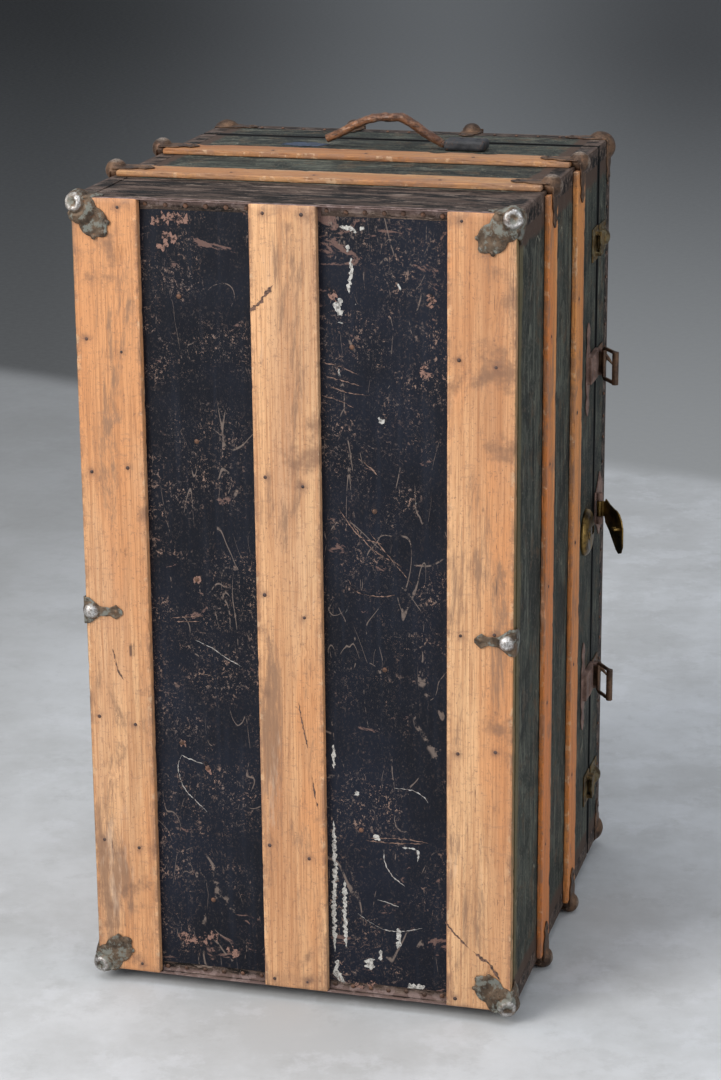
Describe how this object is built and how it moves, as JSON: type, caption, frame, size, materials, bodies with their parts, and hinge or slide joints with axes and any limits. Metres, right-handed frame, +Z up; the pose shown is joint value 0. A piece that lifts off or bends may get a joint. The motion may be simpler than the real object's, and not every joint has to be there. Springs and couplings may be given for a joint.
{
  "type": "steamer trunk",
  "caption": "Flat-topped wood-slatted steamer trunk standing on end, hinged lid closed, draw latches and hasp swung open, leather end handles",
  "frame": {"origin": "Middle of the bounding box's underside, on the floor, with the trunk standing on its lower end at rest: lid closed, latch loops and hasp swung open.", "axes": "+Z runs up the trunk's length from the end it stands on. +X is its lock side, -X its hinge side, -Y its slatted bottom, +Y its lid."},
  "size_m": [0.5512, 0.556, 0.9584],
  "materials": {
    "canvas_board": "thin boards under scratched, painted canvas and sheet",
    "slat_wood": "worn, dry varnish",
    "steel": "rusted pressed steel",
    "brass": "tarnished",
    "leather": "worn, cracked"
  },
  "bodies": {
    "trunk": {"body_case": "canvas_board", "bottom_mid_clamp_back": "steel", "bottom_mid_clamp_front": "steel", "bottom_slat_back": "slat_wood", "bottom_slat_front": "slat_wood", "bottom_slat_middle": "slat_wood", "corner_bumper_lower_back": "steel", "corner_bumper_lower_front": "steel", "corner_bumper_upper_back": "steel", "corner_bumper_upper_front": "steel", "dowel_socket_lower": "steel", "dowel_socket_upper": "steel", "high_clamp_lower_back": "steel", "high_clamp_lower_front": "steel", "high_clamp_upper_back": "steel", "high_clamp_upper_front": "steel", "high_slat_back": "slat_wood", "high_slat_front": "slat_wood", "high_slat_lower_end": "slat_wood", "high_slat_upper_end": "slat_wood", "hinge_body_leaf_lower": "steel", "hinge_body_leaf_upper": "steel", "latch_base_lower": "steel", "latch_base_upper": "steel", "lock_case": "brass", "low_clamp_lower_back": "steel", "low_clamp_lower_front": "steel", "low_clamp_upper_back": "steel", "low_clamp_upper_front": "steel", "low_slat_back": "slat_wood", "low_slat_front": "slat_wood", "low_slat_lower_end": "slat_wood", "low_slat_upper_end": "slat_wood", "lower_handle_cap_back": "steel", "lower_handle_cap_front": "steel", "upper_handle_cap_front": "steel"},
    "lid": {"dowel_tongue_lower": "steel", "dowel_tongue_upper": "steel", "hasp_plate": "steel", "hinge_lid_leaf_lower": "steel", "hinge_lid_leaf_upper": "steel", "latch_catch_lower": "steel", "latch_catch_upper": "steel", "lid_clamp_lower_back": "steel", "lid_clamp_lower_front": "steel", "lid_clamp_upper_back": "steel", "lid_clamp_upper_front": "steel", "lid_corner_lower_back": "steel", "lid_corner_lower_front": "steel", "lid_corner_upper_back": "steel", "lid_corner_upper_front": "steel", "lid_shell": "canvas_board", "lid_slat_back": "slat_wood", "lid_slat_front": "slat_wood"},
    "upper_latch": {"latch_loop_upper": "steel"},
    "lower_latch": {"latch_loop_lower": "steel"},
    "hasp_flap": {"hasp": "brass"},
    "plug": {"lock_plug": "brass"},
    "top_handle": {"upper_handle": "leather"},
    "under_handle": {"lower_handle": "leather"}
  },
  "joints": [
    {"name": "lid_hinge", "type": "hinge", "parent": "trunk", "child": "lid", "pos_m": [-0.26461, 0.1885, 0.4666], "axis": [0, 0, 1], "range_deg": [0, 105]},
    {"name": "upper_latch_swing", "type": "hinge", "parent": "trunk", "child": "upper_latch", "pos_m": [0.23889, 0.1798, 0.6606], "axis": [0, 0, 1], "range_deg": [-25, 143.5]},
    {"name": "lower_latch_swing", "type": "hinge", "parent": "trunk", "child": "lower_latch", "pos_m": [0.23889, 0.1798, 0.2616], "axis": [0, 0, 1], "range_deg": [-25, 143.5]},
    {"name": "hasp_swing", "type": "hinge", "parent": "lid", "child": "hasp_flap", "pos_m": [0.23689, 0.199, 0.4716], "axis": [0, 0, 1], "range_deg": [-33, 107]},
    {"name": "lock_turn", "type": "hinge", "parent": "trunk", "child": "plug", "pos_m": [0.23539, 0.123, 0.4596], "axis": [1, 0, 0], "range_deg": [0, 90]},
    {"name": "upper_handle_tilt", "type": "hinge", "parent": "trunk", "child": "top_handle", "pos_m": [-0.01461, 0.131, 0.9236], "axis": [1, 0, 0], "range_deg": [-60, 60]},
    {"name": "lower_handle_tilt", "type": "hinge", "parent": "trunk", "child": "under_handle", "pos_m": [-0.01461, 0.131, 0.0096], "axis": [1, 0, 0], "range_deg": [-20, 20]}
  ]
}
